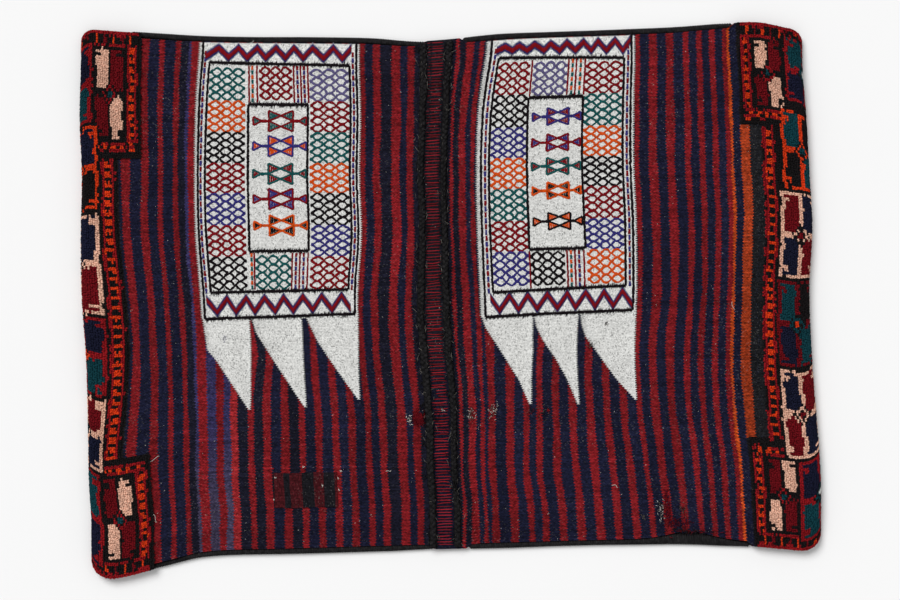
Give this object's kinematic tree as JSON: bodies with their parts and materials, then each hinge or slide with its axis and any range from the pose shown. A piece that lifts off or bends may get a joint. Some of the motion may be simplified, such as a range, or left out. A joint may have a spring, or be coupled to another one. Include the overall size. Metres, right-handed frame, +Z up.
{
  "type": "kilim saddle bag",
  "caption": "Flat-woven double saddle bag with two pockets joined by a bridge, striped back, white brocaded panels and knotted pile corners, lying flat.",
  "frame": {"origin": "middle of the bag's bounding box, on the ground", "axes": "+X along the bag from one pocket to the other, +Y across it towards the side with the white panels, +Z up from the ground out of the woven back"},
  "size_m": [1.382, 1.0357, 0.0271],
  "materials": {
    "woven_wool": "weft-faced wool weave in madder red and indigo stripes, with white cotton brocade and knotted wool pile",
    "goat_hair": "coarse black-brown goat hair, overcast",
    "patch_wool": "darker worn wool weave"
  },
  "bodies": {
    "root": {"woven_strip": "woven_wool", "side_cord_left_upper": "goat_hair", "side_cord_left_lower": "goat_hair", "side_cord_right_upper": "goat_hair", "side_cord_right_lower": "goat_hair", "bridge_braid_left": "goat_hair", "bridge_braid_right": "goat_hair", "repair_patch": "patch_wool"}
  },
  "joints": []
}
